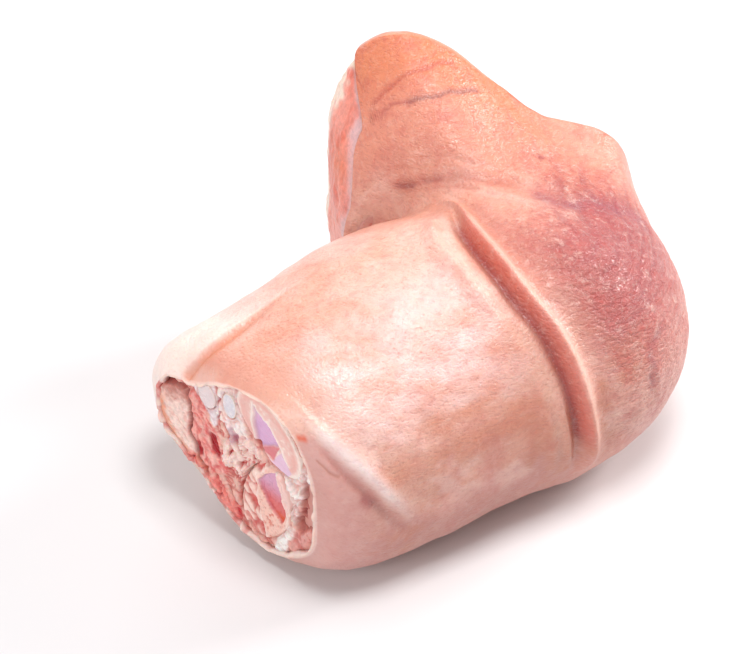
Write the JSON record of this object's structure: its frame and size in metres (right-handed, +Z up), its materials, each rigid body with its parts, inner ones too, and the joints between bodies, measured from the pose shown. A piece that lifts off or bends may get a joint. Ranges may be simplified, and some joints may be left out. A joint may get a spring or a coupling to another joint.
{
  "type": "pork hock",
  "caption": "Raw pork hock: a bent, skin-on foreleg joint with a fold over the elbow, bones and tendons at the wrist cut and a wide muscle cut behind.",
  "frame": {"origin": "on the table, under the middle of the hock's box", "axes": "+Z up; +X towards the elbow; the wrist cut faces -X and -Y, the shoulder cut faces +Y"},
  "size_m": [0.1844, 0.163, 0.1193],
  "materials": {
    "skin_and_flesh": "moist raw pork skin and flesh",
    "bone": "wet bone and cartilage",
    "tendon": "wet bluish-white tendon"
  },
  "bodies": {
    "root": {"hock": "skin_and_flesh", "radius_bone": "bone", "ulna_bone": "bone", "humerus_bone": "bone", "extensor_tendon": "tendon", "flexor_tendon": "tendon"}
  },
  "joints": []
}
